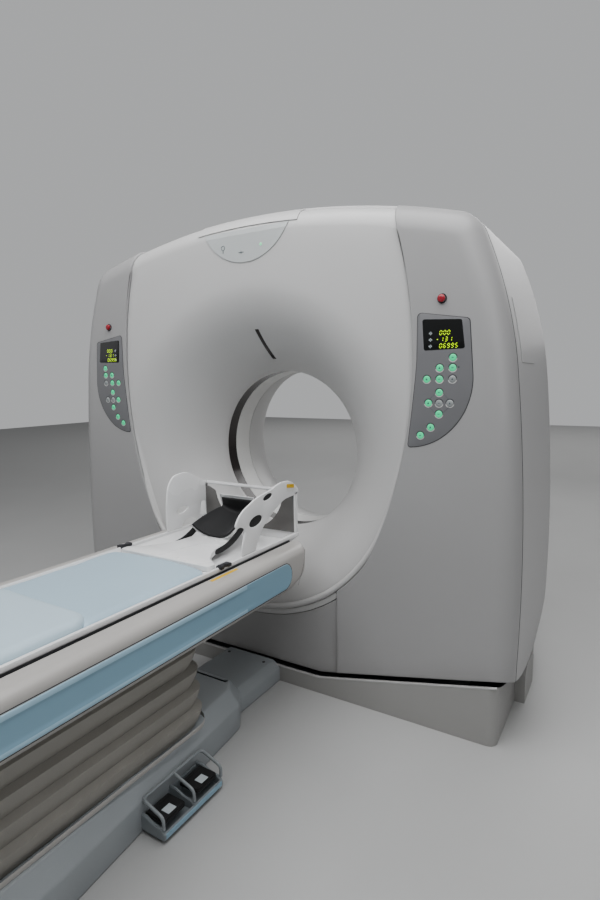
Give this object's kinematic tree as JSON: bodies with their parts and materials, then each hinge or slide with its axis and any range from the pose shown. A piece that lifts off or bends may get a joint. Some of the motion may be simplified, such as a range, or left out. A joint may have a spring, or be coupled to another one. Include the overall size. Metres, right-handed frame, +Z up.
{
  "type": "ct scanner",
  "caption": "Hospital CT scanner: a tilting gantry with a round bore on a floor plinth and a rising patient couch with a sliding tabletop, head holder and foot pedals.",
  "frame": {"origin": "on the floor, straight below the centre of the scan ring and midway between the gantry's floor anchors", "axes": "+X to the right as seen from the couch, +Y through the bore away from the couch, +Z up"},
  "size_m": [2.1638, 3.148, 1.94],
  "materials": {
    "steel": "satin paint",
    "gantry_cover": "satin moulded plastic",
    "wing_cover": "satin moulded plastic",
    "couch_base": "satin paint",
    "guard_wire": "satin paint",
    "bellows": "matt coated cloth",
    "couch_frame": "satin moulded plastic",
    "trim_strip": "satin plastic",
    "tabletop": "satin",
    "mattress": "smooth vinyl",
    "head_pad": "smooth vinyl over foam",
    "pedal": "matt",
    "frame_paint": "satin paint",
    "scan_window": "dark film",
    "laser_window": "dark film",
    "status_panel": "satin",
    "control_panel": "satin",
    "display": "glossy",
    "rotor_metal": "machined",
    "bearing": "ground",
    "belt": "matt",
    "estop": "glossy",
    "button": "lit keycap"
  },
  "bodies": {
    "base": {"base_frame": "steel", "base_cover": "gantry_cover", "tilt_stand_left": "steel", "tilt_stand_right": "steel", "cable_box": "gantry_cover", "couch_base": "couch_base", "foot_pedal_tray": "couch_base", "pedal_guard": "guard_wire", "lift_column_lower": "steel"},
    "gantry": {"gantry_frame": "frame_paint", "front_center_cover": "gantry_cover", "lower_front_cover": "gantry_cover", "front_left_cover": "wing_cover", "front_right_cover": "wing_cover", "side_cover_left": "wing_cover", "side_cover_right": "wing_cover", "top_cover": "gantry_cover", "top_hatch": "gantry_cover", "rear_cover": "gantry_cover", "bore_liner": "gantry_cover", "scan_window": "scan_window", "laser_window": "laser_window", "status_panel": "status_panel", "control_panel_left": "control_panel", "control_panel_right": "control_panel", "panel_displays": "display", "side_hatches": "wing_cover", "main_bearing": "bearing", "drive_motor": "frame_paint", "drive_belt": "belt"},
    "rotor": {"rotor_drum": "rotor_metal", "xray_tube": "rotor_metal", "detector_array": "frame_paint", "hv_generators": "frame_paint"},
    "pulley": {"motor_pulley": "bearing"},
    "column_middle": {"lift_column_middle": "steel"},
    "couch": {"couch_frame": "couch_frame", "side_trim_strips": "trim_strip", "bellows": "bellows"},
    "table": {"tabletop": "tabletop", "mattress": "mattress", "head_holder": "tabletop", "head_pad": "head_pad"},
    "pedal_raise": {"pedal_raise": "pedal"},
    "pedal_lower": {"pedal_lower": "pedal"},
    "estop_left": {"estop_left": "estop"},
    "estop_right": {"estop_right": "estop"},
    "right_button_01": {"right_button_01": "button"},
    "right_button_02": {"right_button_02": "button"},
    "right_button_03": {"right_button_03": "button"},
    "right_button_04": {"right_button_04": "button"},
    "right_button_05": {"right_button_05": "button"},
    "right_button_06": {"right_button_06": "button"},
    "right_button_07": {"right_button_07": "button"},
    "right_button_08": {"right_button_08": "button"},
    "right_button_09": {"right_button_09": "button"},
    "right_button_10": {"right_button_10": "button"},
    "right_button_11": {"right_button_11": "button"},
    "right_button_12": {"right_button_12": "button"},
    "right_button_13": {"right_button_13": "button"}
  },
  "joints": [
    {"name": "gantry_tilt", "type": "hinge", "parent": "base", "child": "gantry", "pos_m": [0, 0, 0.95], "axis": [-1, 0, 0], "range_deg": [-20, 8]},
    {"name": "rotor_spin", "type": "hinge", "parent": "gantry", "child": "rotor", "pos_m": [0, 0, 0.95], "axis": [0, 1, 0], "continuous": true},
    {"name": "pulley_spin", "type": "hinge", "parent": "gantry", "child": "pulley", "pos_m": [-0.64, 0, 0.47], "axis": [0, 1, 0], "continuous": true},
    {"name": "couch_lift", "type": "slide", "parent": "base", "child": "couch", "axis": [0, 0, 1], "range_m": [-0.15, 0.21], "deforming": ["bellows"]},
    {"name": "column_middle_slide", "type": "slide", "parent": "base", "child": "column_middle", "axis": [0, 0, 1], "range_m": [-0.08, 0.11]},
    {"name": "tabletop_slide", "type": "slide", "parent": "couch", "child": "table", "axis": [0, 1, 0], "range_m": [-0.35, 0.18]},
    {"name": "pedal_raise_press", "type": "hinge", "parent": "base", "child": "pedal_raise", "pos_m": [0.262, 0, 0.05], "axis": [0, 1, 0], "range_deg": [0, 8], "stiffness_Nm_per_rad": 4, "springref_deg": -6.88},
    {"name": "pedal_lower_press", "type": "hinge", "parent": "base", "child": "pedal_lower", "pos_m": [0.262, 0, 0.05], "axis": [0, 1, 0], "range_deg": [0, 8], "stiffness_Nm_per_rad": 4, "springref_deg": -6.88},
    {"name": "estop_left_press", "type": "slide", "parent": "gantry", "child": "estop_left", "axis": [0, 1, 0], "range_m": [0, 0.003], "stiffness_N_per_m": 1500, "springref_m": -0.003},
    {"name": "estop_right_press", "type": "slide", "parent": "gantry", "child": "estop_right", "axis": [0, 1, 0], "range_m": [0, 0.003], "stiffness_N_per_m": 1500, "springref_m": -0.003},
    {"name": "right_button_01_press", "type": "slide", "parent": "gantry", "child": "right_button_01", "axis": [0, 1, 0], "range_m": [0, 0.002], "stiffness_N_per_m": 900, "springref_m": -0.002},
    {"name": "right_button_02_press", "type": "slide", "parent": "gantry", "child": "right_button_02", "axis": [0, 1, 0], "range_m": [0, 0.002], "stiffness_N_per_m": 900, "springref_m": -0.002},
    {"name": "right_button_03_press", "type": "slide", "parent": "gantry", "child": "right_button_03", "axis": [0, 1, 0], "range_m": [0, 0.002], "stiffness_N_per_m": 900, "springref_m": -0.002},
    {"name": "right_button_04_press", "type": "slide", "parent": "gantry", "child": "right_button_04", "axis": [0, 1, 0], "range_m": [0, 0.002], "stiffness_N_per_m": 900, "springref_m": -0.002},
    {"name": "right_button_05_press", "type": "slide", "parent": "gantry", "child": "right_button_05", "axis": [0, 1, 0], "range_m": [0, 0.002], "stiffness_N_per_m": 900, "springref_m": -0.002},
    {"name": "right_button_06_press", "type": "slide", "parent": "gantry", "child": "right_button_06", "axis": [0, 1, 0], "range_m": [0, 0.002], "stiffness_N_per_m": 900, "springref_m": -0.002},
    {"name": "right_button_07_press", "type": "slide", "parent": "gantry", "child": "right_button_07", "axis": [0, 1, 0], "range_m": [0, 0.002], "stiffness_N_per_m": 900, "springref_m": -0.002},
    {"name": "right_button_08_press", "type": "slide", "parent": "gantry", "child": "right_button_08", "axis": [0, 1, 0], "range_m": [0, 0.002], "stiffness_N_per_m": 900, "springref_m": -0.002},
    {"name": "right_button_09_press", "type": "slide", "parent": "gantry", "child": "right_button_09", "axis": [0, 1, 0], "range_m": [0, 0.002], "stiffness_N_per_m": 900, "springref_m": -0.002},
    {"name": "right_button_10_press", "type": "slide", "parent": "gantry", "child": "right_button_10", "axis": [0, 1, 0], "range_m": [0, 0.002], "stiffness_N_per_m": 900, "springref_m": -0.002},
    {"name": "right_button_11_press", "type": "slide", "parent": "gantry", "child": "right_button_11", "axis": [0, 1, 0], "range_m": [0, 0.002], "stiffness_N_per_m": 900, "springref_m": -0.002},
    {"name": "right_button_12_press", "type": "slide", "parent": "gantry", "child": "right_button_12", "axis": [0, 1, 0], "range_m": [0, 0.002], "stiffness_N_per_m": 900, "springref_m": -0.002},
    {"name": "right_button_13_press", "type": "slide", "parent": "gantry", "child": "right_button_13", "axis": [0, 1, 0], "range_m": [0, 0.002], "stiffness_N_per_m": 900, "springref_m": -0.002}
  ],
  "couplings": [
    {"joint": "pulley_spin", "follows": "rotor_spin", "ratio": 11.111},
    {"joint": "column_middle_slide", "follows": "couch_lift", "ratio": 0.5}
  ]
}
